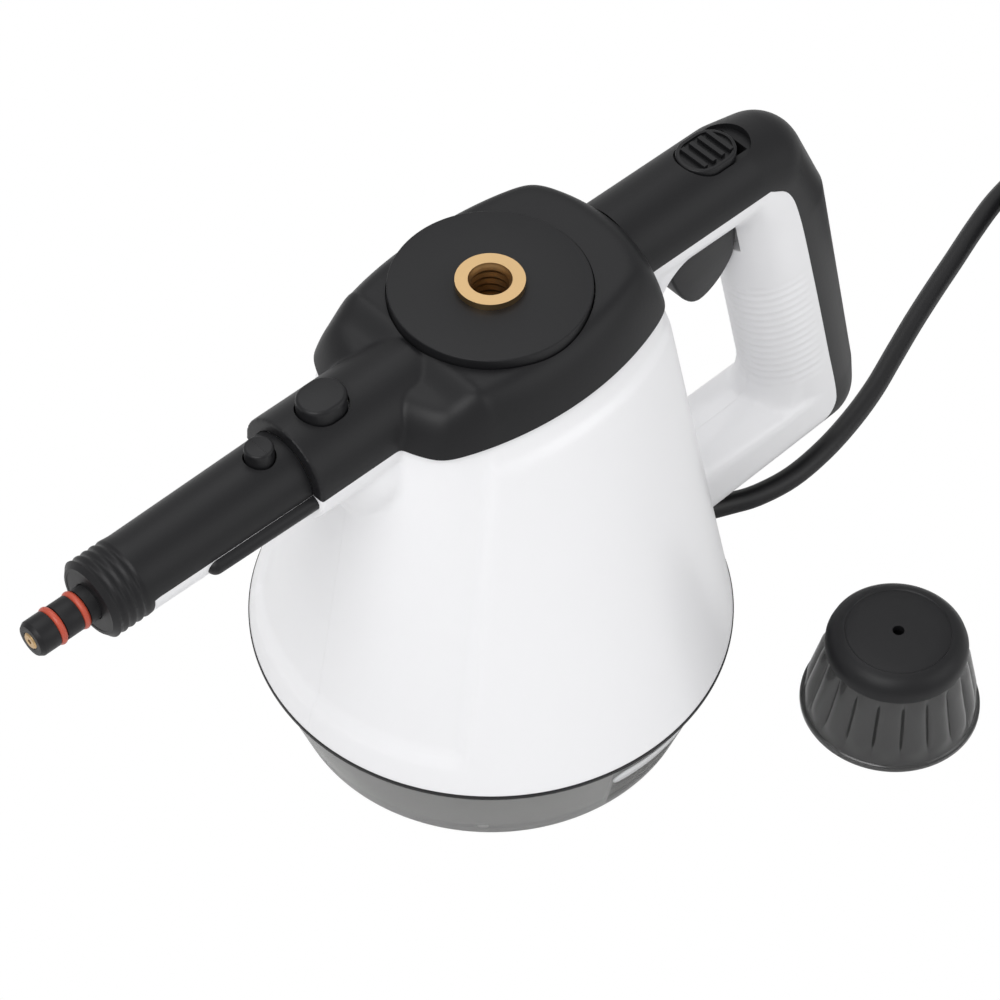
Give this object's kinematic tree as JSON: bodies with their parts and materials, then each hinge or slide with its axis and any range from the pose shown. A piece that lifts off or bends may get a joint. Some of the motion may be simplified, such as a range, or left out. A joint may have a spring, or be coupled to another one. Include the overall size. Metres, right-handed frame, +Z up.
{
  "type": "hand-held wallpaper steamer",
  "caption": "Hand-held steam generator with a screw-capped filler, a push-on steam nozzle, a trigger and a closed handle, for loosening wallpaper.",
  "frame": {"origin": "centre of the flat base, on the surface that the steamer stands on", "axes": "+Z up through the filler, -X along the nozzle, +X towards the handle"},
  "size_m": [0.5351, 0.1967, 0.1777],
  "materials": {
    "white_casing": "satin moulded",
    "black_casing": "fine matt moulded",
    "black_button": "matt moulded",
    "black_tray": "moulded",
    "smoke_clear": "smoked clear moulding",
    "lens_clear": "frosted clear moulding",
    "brass": "turned",
    "steel": "plated",
    "cast_alloy": "die cast",
    "red_seal": "moulded silicone",
    "tan_silicone": "moulded silicone",
    "black_rubber": "moulded",
    "cord_black": "extruded sheath",
    "board_green": "lacquered",
    "lamp_orange": "clear",
    "terminal_cream": "moulded"
  },
  "bodies": {
    "root": {"body_shell_left": "white_casing", "body_shell_right": "white_casing", "top_cover": "black_casing", "handle_strip": "black_casing", "nozzle_barrel": "black_casing", "nozzle_tip": "black_casing", "tip_orings": "red_seal", "steam_jet": "brass", "filler_disc": "black_casing", "filler_neck": "brass", "neck_gasket": "red_seal", "boiler_upper": "cast_alloy", "boiler_lower": "cast_alloy", "boiler_gasket": "tan_silicone", "boiler_screws": "steel", "heater_terminals": "steel", "thermostat": "steel", "thermal_fuse": "steel", "valve_body": "brass", "valve_spring": "steel", "steam_pipe": "tan_silicone", "trigger_pin": "steel", "trigger_spring": "steel", "catch_spring": "steel", "base_skirt": "smoke_clear", "rim_ring": "black_casing", "base_plate": "black_tray", "base_feet": "black_rubber", "base_screws": "steel", "lamp_lens": "lens_clear", "lamp_board": "board_green", "pilot_lamp": "lamp_orange", "terminal_block": "terminal_cream", "cord_clamp": "black_tray", "cord_gland": "black_rubber", "cord_lead": "cord_black", "cord_coil": "cord_black", "cord_tail": "cord_black", "coil_tie": "black_rubber", "plug_body": "black_rubber", "plug_pins": "steel", "plug_earth_clips": "steel", "shell_screws": "steel"},
    "trigger": {"trigger": "black_button"},
    "rod": {"push_rod": "steel", "valve_stem": "steel"},
    "lock": {"lock_slide": "black_button"},
    "release": {"release_button": "black_button", "catch_slide": "black_button"},
    "cap": {"cap_top": "black_casing", "cap_skirt": "smoke_clear"},
    "cap_core": {"cap_core": "black_casing", "cap_gasket": "red_seal", "relief_spring": "steel"},
    "relief": {"relief_plunger": "brass"}
  },
  "joints": [
    {"name": "trigger_pull", "type": "hinge", "parent": "root", "child": "trigger", "pos_m": [0.066, 0, 0.147], "axis": [0, -1, 0], "range_deg": [0, 9], "stiffness_Nm_per_rad": 0.35, "springref_deg": -6.88, "deforming": ["trigger_spring"]},
    {"name": "rod_push", "type": "slide", "parent": "root", "child": "rod", "axis": [-1, 0, 0], "range_m": [0, 0.0021], "deforming": ["valve_spring"]},
    {"name": "lock_slide", "type": "slide", "parent": "root", "child": "lock", "axis": [1, 0, 0], "range_m": [0, 0.0055]},
    {"name": "release_press", "type": "slide", "parent": "root", "child": "release", "axis": [0, 0, -1], "range_m": [0, 0.003], "stiffness_N_per_m": 600, "springref_m": -0.002, "deforming": ["catch_spring"]},
    {"name": "cap_lift", "type": "slide", "parent": "root", "child": "cap", "axis": [0, 0, 1], "range_m": [0, 0.2]},
    {"name": "cap_turn", "type": "hinge", "parent": "cap", "child": "cap_core", "pos_m": [0.0832, -0.0937, 0.02], "axis": [0, 0, 1], "continuous": true},
    {"name": "relief_open", "type": "slide", "parent": "cap_core", "child": "relief", "axis": [0, 0, 1], "range_m": [0, 0.0015], "stiffness_N_per_m": 900, "springref_m": -0.002, "deforming": ["relief_spring"]}
  ],
  "couplings": [
    {"joint": "rod_push", "follows": "trigger_pull", "m_per_rad": 0.013}
  ]
}
